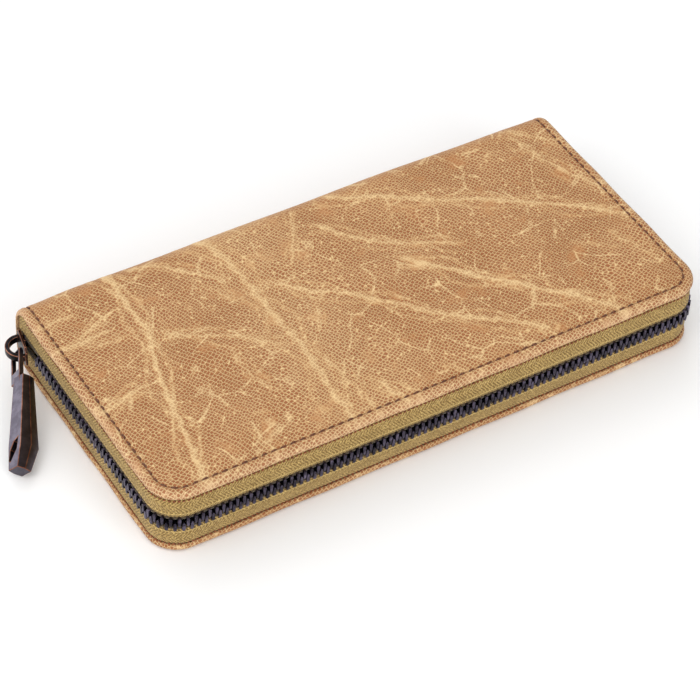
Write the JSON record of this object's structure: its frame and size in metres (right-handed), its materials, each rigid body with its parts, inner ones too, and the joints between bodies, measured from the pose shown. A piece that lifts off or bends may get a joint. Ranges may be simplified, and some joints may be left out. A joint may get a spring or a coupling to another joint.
{
  "type": "zip around wallet",
  "caption": "Long leather wallet closed by a metal zip round three sides, with card pockets, note compartments and a zipped coin pocket.",
  "frame": {"origin": "centre of the lower cover's outside face, on the surface that the closed wallet lies on", "axes": "+X along the spine to the right, +Y from the front opening to the spine, +Z from the lower cover to the upper cover"},
  "size_m": [0.2203, 0.0964, 0.025],
  "materials": {
    "cover_leather": "tan pebbled leather with cream veins, satin",
    "inner_leather": "smooth tan leather",
    "lining_fabric": "brown woven lining",
    "stiffener": "bonded fibre board",
    "edge_thread": "dark brown waxed thread",
    "zip_tape": "olive herringbone tape",
    "zip_teeth": "dark gunmetal plating",
    "slider_metal": "antique copper, dark with worn edges",
    "coin_metal": "dark gunmetal plating"
  },
  "bodies": {
    "lower_cover": {"bottom_stop": "zip_teeth", "lower_card_leaf_1": "inner_leather", "lower_card_leaf_2": "inner_leather", "lower_card_leaf_3": "inner_leather", "lower_card_leaf_4": "inner_leather", "lower_cover_board": "stiffener", "lower_cover_leather": "cover_leather", "lower_cover_lining": "lining_fabric", "lower_cover_stitching": "edge_thread", "lower_left_gusset": "lining_fabric", "lower_right_gusset": "lining_fabric", "lower_top_stop": "zip_teeth", "lower_zip_cord": "zip_tape", "lower_zip_tape": "zip_tape", "lower_zip_teeth": "zip_teeth"},
    "spine": {"coin_stops": "coin_metal", "lower_coin_tape": "zip_tape", "lower_coin_teeth": "coin_metal", "lower_coin_wall": "inner_leather", "spine_leather": "cover_leather", "spine_lining": "lining_fabric", "upper_coin_tape": "zip_tape", "upper_coin_teeth": "coin_metal", "upper_coin_wall": "inner_leather"},
    "upper_cover": {"upper_card_leaf_1": "inner_leather", "upper_card_leaf_2": "inner_leather", "upper_card_leaf_3": "inner_leather", "upper_card_leaf_4": "inner_leather", "upper_cover_board": "stiffener", "upper_cover_leather": "cover_leather", "upper_cover_lining": "lining_fabric", "upper_cover_stitching": "edge_thread", "upper_left_gusset": "lining_fabric", "upper_right_gusset": "lining_fabric", "upper_top_stop": "zip_teeth", "upper_zip_cord": "zip_tape", "upper_zip_tape": "zip_tape", "upper_zip_teeth": "zip_teeth"},
    "zip_slider": {"slider_bail": "slider_metal", "slider_body": "slider_metal"},
    "zip_puller": {"zip_puller": "slider_metal"},
    "coin_slider": {"coin_slider_bail": "coin_metal", "coin_slider_body": "coin_metal"},
    "coin_puller": {"coin_puller": "coin_metal"}
  },
  "joints": [
    {"name": "lower_fold", "type": "hinge", "parent": "lower_cover", "child": "spine", "pos_m": [0, 0.048, 0.007], "axis": [-1, 0, 0], "range_deg": [0, 45], "deforming": ["lower_left_gusset", "lower_right_gusset"]},
    {"name": "upper_fold", "type": "hinge", "parent": "spine", "child": "upper_cover", "pos_m": [0, 0.048, 0.018], "axis": [-1, 0, 0], "range_deg": [0, 45], "deforming": ["upper_left_gusset", "upper_right_gusset"]},
    {"name": "zip_slide", "type": "slide", "parent": "lower_cover", "child": "zip_slider", "axis": [0, -1, 0], "range_m": [0, 0.06], "deforming": ["lower_zip_teeth", "upper_zip_teeth", "lower_zip_cord", "upper_zip_cord"]},
    {"name": "puller_swing", "type": "hinge", "parent": "zip_slider", "child": "zip_puller", "pos_m": [-0.09914, 0.04014, 0.0125], "axis": [0, 0, 1], "range_deg": [-100, 0]},
    {"name": "coin_slide", "type": "slide", "parent": "spine", "child": "coin_slider", "axis": [-1, 0, 0], "range_m": [0, 0.15], "deforming": ["lower_coin_teeth", "upper_coin_teeth"]},
    {"name": "coin_puller_swing", "type": "hinge", "parent": "coin_slider", "child": "coin_puller", "pos_m": [0.076, -0.0329, 0.0125], "axis": [0, 0, 1], "range_deg": [0, 110]}
  ],
  "couplings": [
    {"joint": "upper_fold", "follows": "lower_fold", "ratio": 1}
  ]
}
